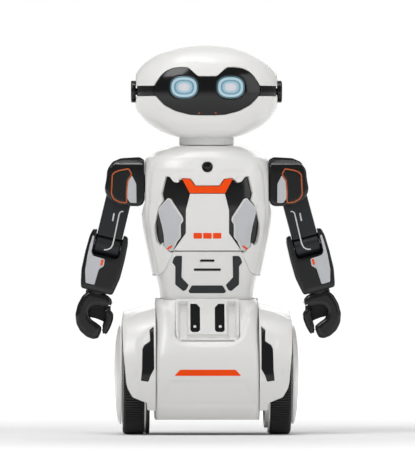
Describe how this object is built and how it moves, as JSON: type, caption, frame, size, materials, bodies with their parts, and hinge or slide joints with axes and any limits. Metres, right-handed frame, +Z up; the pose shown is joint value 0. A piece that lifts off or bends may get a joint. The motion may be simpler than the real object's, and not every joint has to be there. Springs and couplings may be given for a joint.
{
  "type": "two-wheel balancing robot",
  "caption": "Humanoid table-top balancing robot with a swivelling visor head, jointed gripper arms and two fendered wheels.",
  "frame": {"origin": "on the floor, midway between the wheels and under the axle", "axes": "+Z up, the robot faces -Y, the axle and the robot's left side along +X"},
  "size_m": [0.2035, 0.1044, 0.2998],
  "materials": {
    "white": "gloss moulded",
    "grey": "satin moulded",
    "silver": "silver satin",
    "black": "gloss moulded",
    "satin_black": "satin",
    "orange": "satin paint",
    "tyre_rubber": "ribbed rubber",
    "visor": "polished",
    "eye": "lit diffuser",
    "board": "circuit board",
    "steel": "ground"
  },
  "bodies": {
    "body": {"base_front_shell": "white", "base_back_shell": "white", "base_stripe": "orange", "hip_panel": "white", "hip_strip_left": "black", "hip_strip_right": "black", "fender_left": "white", "fender_right": "white", "side_intake_left": "black", "side_intake_right": "black", "gear_motor_left": "satin_black", "gear_motor_right": "satin_black", "torso_front_shell": "white", "torso_back_shell": "white", "chest_plate": "white", "chest_band": "orange", "chest_inset_left": "black", "chest_inset_right": "black", "flank_panel_left": "silver", "flank_panel_right": "silver", "sensor_lens": "visor", "battery_door": "white", "battery_pack": "satin_black", "main_board": "board", "speaker": "satin_black", "belly_shell": "white", "belly_trim_left": "satin_black", "belly_trim_right": "satin_black", "belly_trim_foot": "satin_black"},
    "head": {"head_upper_shell": "white", "head_lower_shell": "white", "head_band": "black", "visor": "visor", "eye_light_left": "eye", "eye_light_right": "eye", "ear_cap_left": "black", "ear_cap_right": "black", "neck_tube": "grey"},
    "switch_slider": {"power_switch": "satin_black"},
    "wheel_left": {"wheel_rim_left": "white", "tyre_left": "tyre_rubber", "hubcap_left": "white", "wheel_axle_left": "steel"},
    "shoulder_left": {"shoulder_housing_left": "black"},
    "arm_left": {"upper_arm_left": "satin_black"},
    "lower_arm_left": {"forearm_left": "black", "forearm_plate_left": "silver"},
    "gripper_left": {"hand_left": "black"},
    "gripper_thumb_left": {"thumb_left": "black"},
    "wheel_right": {"wheel_rim_right": "white", "tyre_right": "tyre_rubber", "hubcap_right": "white", "wheel_axle_right": "steel", "grip_ring_right": "tyre_rubber"},
    "shoulder_right": {"shoulder_housing_right": "black"},
    "arm_right": {"upper_arm_right": "satin_black"},
    "lower_arm_right": {"forearm_right": "black", "forearm_plate_right": "silver"},
    "gripper_right": {"hand_right": "black"},
    "gripper_thumb_right": {"thumb_right": "black"}
  },
  "joints": [
    {"name": "head_yaw", "type": "hinge", "parent": "body", "child": "head", "pos_m": [0, 0, 0.221], "axis": [0, 0, 1], "range_deg": [-60, 60]},
    {"name": "switch_slide", "type": "slide", "parent": "body", "child": "switch_slider", "axis": [1, 0, 0], "range_m": [0, 0.004]},
    {"name": "wheel_spin_left", "type": "hinge", "parent": "body", "child": "wheel_left", "pos_m": [0.0565, 0, 0.04561], "axis": [1, 0, 0], "continuous": true},
    {"name": "shoulder_pitch_left", "type": "hinge", "parent": "body", "child": "shoulder_left", "pos_m": [0.0476, 0, 0.192], "axis": [-1, 0, 0], "range_deg": [-60, 170]},
    {"name": "arm_swing_left", "type": "hinge", "parent": "shoulder_left", "child": "arm_left", "pos_m": [0.0656, 0, 0.1869], "axis": [0, -1, 0], "range_deg": [0, 75]},
    {"name": "elbow_left", "type": "hinge", "parent": "arm_left", "child": "lower_arm_left", "pos_m": [0.07699, 0, 0.1444], "axis": [-0.9659, 0, -0.2588], "range_deg": [0, 90]},
    {"name": "wrist_roll_left", "type": "hinge", "parent": "lower_arm_left", "child": "gripper_left", "pos_m": [0.08638, 0, 0.10934], "axis": [-0.2588, 0, 0.9659], "range_deg": [-90, 90]},
    {"name": "thumb_open_left", "type": "hinge", "parent": "gripper_left", "child": "gripper_thumb_left", "pos_m": [0.07772, 0, 0.1007], "axis": [0, 1, 0], "range_deg": [0, 8]},
    {"name": "wheel_spin_right", "type": "hinge", "parent": "body", "child": "wheel_right", "pos_m": [-0.0565, 0, 0.04561], "axis": [1, 0, 0], "continuous": true},
    {"name": "shoulder_pitch_right", "type": "hinge", "parent": "body", "child": "shoulder_right", "pos_m": [-0.0476, 0, 0.192], "axis": [-1, 0, 0], "range_deg": [-60, 170]},
    {"name": "arm_swing_right", "type": "hinge", "parent": "shoulder_right", "child": "arm_right", "pos_m": [-0.0656, 0, 0.1869], "axis": [0, 1, 0], "range_deg": [0, 75]},
    {"name": "elbow_right", "type": "hinge", "parent": "arm_right", "child": "lower_arm_right", "pos_m": [-0.07587, 0, 0.14412], "axis": [-0.9724, 0, 0.2334], "range_deg": [0, 90]},
    {"name": "wrist_roll_right", "type": "hinge", "parent": "lower_arm_right", "child": "gripper_right", "pos_m": [-0.08435, 0, 0.10882], "axis": [0.2334, 0, 0.9724], "range_deg": [-90, 90]},
    {"name": "thumb_open_right", "type": "hinge", "parent": "gripper_right", "child": "gripper_thumb_right", "pos_m": [-0.07546, 0, 0.10041], "axis": [0, -1, 0], "range_deg": [0, 8]}
  ]
}
